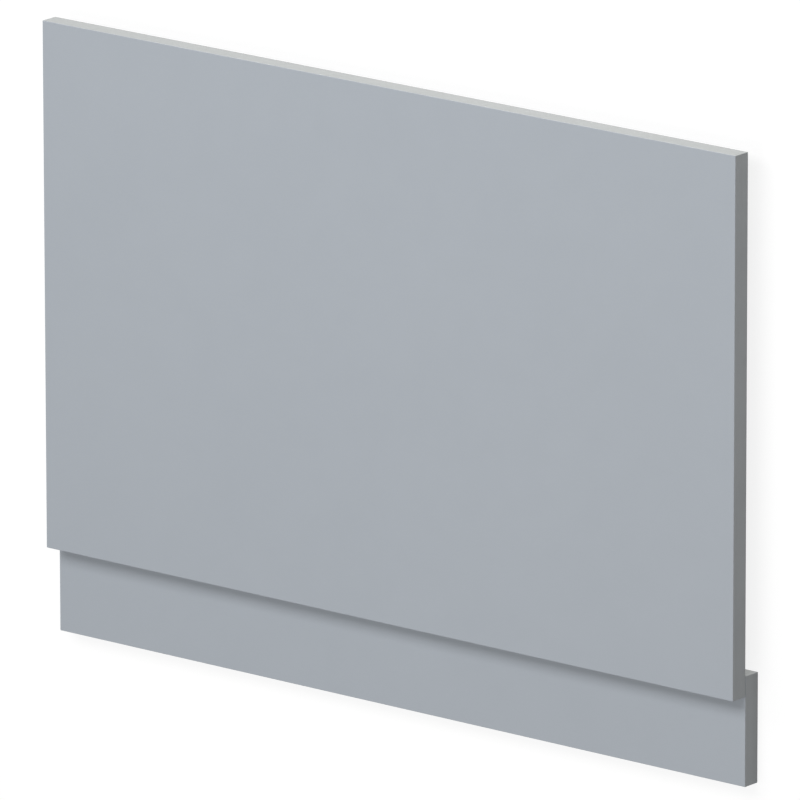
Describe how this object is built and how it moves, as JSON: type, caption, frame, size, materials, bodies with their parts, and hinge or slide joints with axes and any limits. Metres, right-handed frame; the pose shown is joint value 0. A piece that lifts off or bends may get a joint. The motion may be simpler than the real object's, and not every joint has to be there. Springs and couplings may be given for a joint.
{
  "type": "bath end panel",
  "caption": "Flat bath end panel: a grey front board with a set-back plinth board lapped and screwed behind its lower edge, to close off the end of a bath.",
  "frame": {"origin": "middle of the panel's outline, seen from the front, on the plane of the plinth's back face, which lies on the floor", "axes": "+X across the width, to the right seen from the front; +Y up the height, towards the edge that tucks under the bath's rim; +Z out of the front face, which lies uppermost"},
  "size_m": [0.7, 0.51, 0.032],
  "materials": {
    "grey_lacquer": "satin",
    "zinc_plated_steel": "satin"
  },
  "bodies": {
    "root": {"main_panel": "grey_lacquer", "plinth": "grey_lacquer", "plinth_screw_1": "zinc_plated_steel", "plinth_screw_2": "zinc_plated_steel", "plinth_screw_3": "zinc_plated_steel", "plinth_screw_4": "zinc_plated_steel"}
  },
  "joints": []
}
